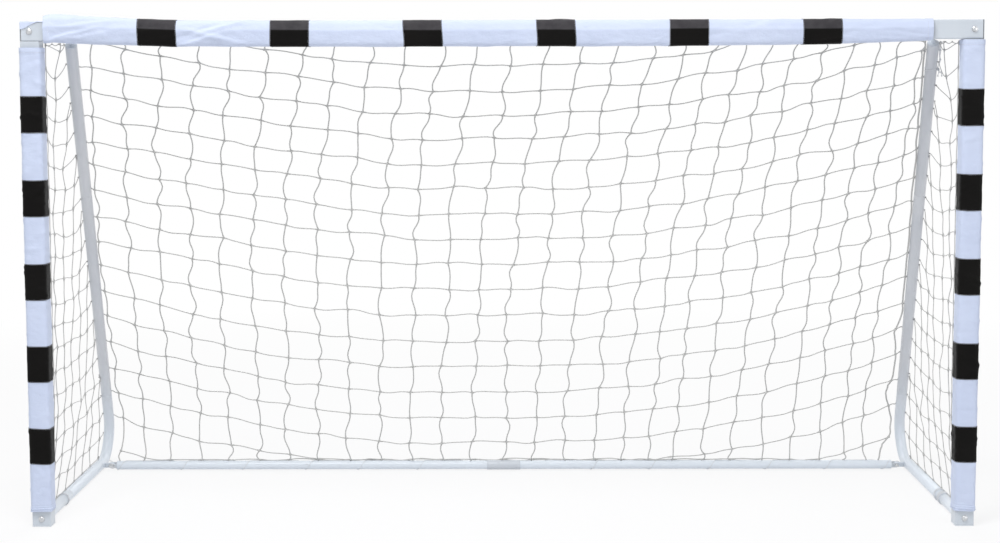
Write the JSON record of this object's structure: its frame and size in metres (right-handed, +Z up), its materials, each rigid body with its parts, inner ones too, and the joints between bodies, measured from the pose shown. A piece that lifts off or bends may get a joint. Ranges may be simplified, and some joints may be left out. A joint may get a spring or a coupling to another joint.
{
  "type": "folding soccer goal",
  "caption": "Folding soccer goal: square tube mouth in banded cloth sleeves, hinged bent side tubes, a split back bar with a sliding coupler, and draped nets.",
  "frame": {"origin": "on the floor, at the middle of the goal's width and of its depth", "axes": "X across the mouth to the right as seen from the front, Y from the mouth to the back, Z up"},
  "size_m": [3.0094, 1.0794, 1.6048],
  "materials": {
    "white_painted_steel": "white powder coat, satin",
    "zinc_plated_steel": "bright zinc plate",
    "white_nylon": "moulded, satin",
    "white_sleeve_cloth": "woven cloth, slightly blue white",
    "black_band_cloth": "woven cloth, black",
    "grey_net_twine": "twisted twine, pale grey"
  },
  "bodies": {
    "goal_mouth": {"crossbar": "white_painted_steel", "left_end_plug": "white_nylon", "left_post": "white_painted_steel", "left_foot_plug": "white_nylon", "left_corner_tongue": "white_nylon", "left_corner_bolt": "zinc_plated_steel", "left_foot_bolt": "zinc_plated_steel", "left_foot_hinge": "white_painted_steel", "left_top_hinge": "white_painted_steel", "left_foot_pin": "zinc_plated_steel", "left_top_pin": "zinc_plated_steel", "right_end_plug": "white_nylon", "right_post": "white_painted_steel", "right_foot_plug": "white_nylon", "right_corner_tongue": "white_nylon", "right_corner_bolt": "zinc_plated_steel", "right_foot_bolt": "zinc_plated_steel", "right_foot_hinge": "white_painted_steel", "right_top_hinge": "white_painted_steel", "right_foot_pin": "zinc_plated_steel", "right_top_pin": "zinc_plated_steel", "crossbar_sleeve": "white_sleeve_cloth", "left_post_sleeve": "white_sleeve_cloth", "right_post_sleeve": "white_sleeve_cloth", "crossbar_band_1": "black_band_cloth", "crossbar_band_2": "black_band_cloth", "crossbar_band_3": "black_band_cloth", "crossbar_band_4": "black_band_cloth", "crossbar_band_5": "black_band_cloth", "crossbar_band_6": "black_band_cloth", "left_post_band_1": "black_band_cloth", "left_post_band_2": "black_band_cloth", "left_post_band_3": "black_band_cloth", "left_post_band_4": "black_band_cloth", "left_post_band_5": "black_band_cloth", "right_post_band_1": "black_band_cloth", "right_post_band_2": "black_band_cloth", "right_post_band_3": "black_band_cloth", "right_post_band_4": "black_band_cloth", "right_post_band_5": "black_band_cloth", "net_back": "grey_net_twine"},
    "left_side": {"left_side_tube": "white_painted_steel", "left_foot_eye": "white_painted_steel", "left_top_eye": "white_painted_steel", "left_side_net": "grey_net_twine", "left_lug": "white_painted_steel", "left_corner_pin": "zinc_plated_steel"},
    "left_bar": {"left_back_bar": "white_painted_steel", "left_bar_fork": "white_nylon"},
    "right_side": {"right_side_tube": "white_painted_steel", "right_foot_eye": "white_painted_steel", "right_top_eye": "white_painted_steel", "right_side_net": "grey_net_twine", "right_lug": "white_painted_steel", "right_corner_pin": "zinc_plated_steel"},
    "right_bar": {"right_back_bar": "white_painted_steel", "right_bar_fork": "white_nylon"},
    "coupler": {"coupler": "zinc_plated_steel"}
  },
  "joints": [
    {"name": "left_side_fold", "type": "hinge", "parent": "goal_mouth", "child": "left_side", "pos_m": [-1.475, -0.43629, 0.019], "axis": [-0.0723, 0, -0.9974], "range_deg": [0, 90], "deforming": ["net_back"]},
    {"name": "right_side_fold", "type": "hinge", "parent": "goal_mouth", "child": "right_side", "pos_m": [1.475, -0.43629, 0.019], "axis": [-0.0723, 0, 0.9974], "range_deg": [0, 90], "deforming": ["net_back"]},
    {"name": "left_bar_fold", "type": "hinge", "parent": "left_side", "child": "left_bar", "pos_m": [-1.42988, 0.37871, 0.019], "axis": [0, -0.8285, -0.56], "range_deg": [0, 86], "deforming": ["net_back"]},
    {"name": "right_bar_fold", "type": "hinge", "parent": "right_side", "child": "right_bar", "pos_m": [1.42988, 0.37871, 0.019], "axis": [0, 0.8285, 0.56], "range_deg": [0, 86], "deforming": ["net_back"]},
    {"name": "coupler_slide", "type": "slide", "parent": "right_bar", "child": "coupler", "axis": [1, 0, 0], "range_m": [0, 0.075]}
  ]
}
